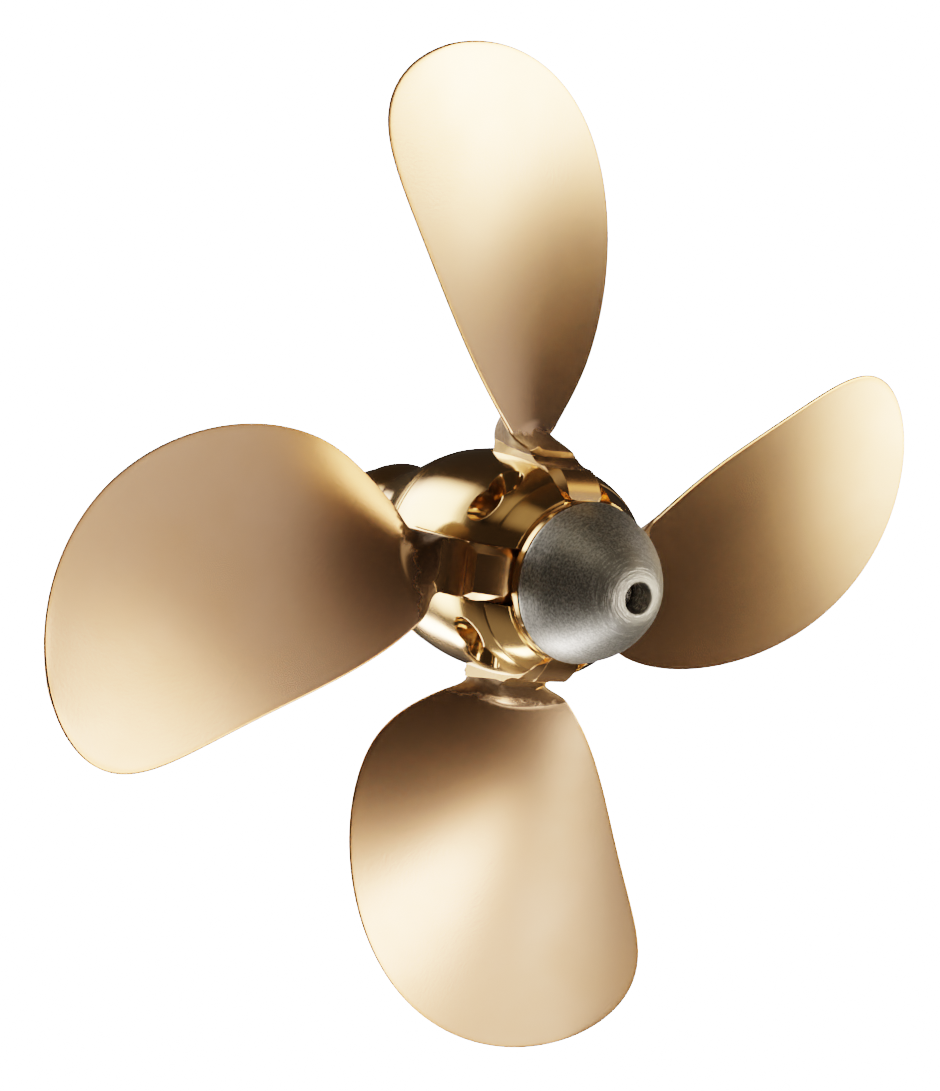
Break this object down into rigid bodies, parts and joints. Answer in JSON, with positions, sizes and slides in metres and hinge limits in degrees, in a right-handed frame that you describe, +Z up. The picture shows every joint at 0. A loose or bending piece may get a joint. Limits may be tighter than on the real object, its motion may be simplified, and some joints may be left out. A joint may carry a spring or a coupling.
{
  "type": "folding boat propeller",
  "caption": "Folding propeller for a boat shaft: bronze hub with slotted arms, geared blades on pivot pins and a zinc anode.",
  "frame": {"origin": "centre of the hub's shaft-side face, on the shaft's axis", "axes": "+Y along the shaft towards the bow, +Z up with the first blade upright, -Y towards the anode at the stern"},
  "size_m": [0.4874, 0.2312, 0.4874],
  "materials": {
    "polished_bronze": "polished nickel aluminium bronze",
    "satin_bronze": "satin brushed nickel aluminium bronze",
    "turned_zinc": "turned zinc, grey",
    "stainless_steel": "ground stainless steel"
  },
  "bodies": {
    "body": {"hub": "polished_bronze", "pivot_pin_1": "stainless_steel", "pivot_pin_2": "stainless_steel", "pivot_pin_3": "stainless_steel", "pivot_pin_4": "stainless_steel", "anode_seat": "polished_bronze", "anode": "turned_zinc", "anode_screw": "stainless_steel"},
    "blade_1_body": {"blade_1": "satin_bronze"},
    "blade_2_body": {"blade_2": "satin_bronze"},
    "blade_3_body": {"blade_3": "satin_bronze"},
    "blade_4_body": {"blade_4": "satin_bronze"}
  },
  "joints": [
    {"name": "blade_1_fold", "type": "hinge", "parent": "body", "child": "blade_1_body", "pos_m": [0, -0.159, 0.0305], "axis": [1, 0, 0], "range_deg": [0, 80]},
    {"name": "blade_2_fold", "type": "hinge", "parent": "body", "child": "blade_2_body", "pos_m": [0.0305, -0.159, 0], "axis": [0, 0, -1], "range_deg": [0, 80]},
    {"name": "blade_3_fold", "type": "hinge", "parent": "body", "child": "blade_3_body", "pos_m": [0, -0.159, -0.0305], "axis": [-1, 0, 0], "range_deg": [0, 80]},
    {"name": "blade_4_fold", "type": "hinge", "parent": "body", "child": "blade_4_body", "pos_m": [-0.0305, -0.159, 0], "axis": [0, 0, 1], "range_deg": [0, 80]}
  ],
  "couplings": [
    {"joint": "blade_2_fold", "follows": "blade_1_fold", "ratio": 1},
    {"joint": "blade_3_fold", "follows": "blade_1_fold", "ratio": 1},
    {"joint": "blade_4_fold", "follows": "blade_1_fold", "ratio": 1}
  ]
}
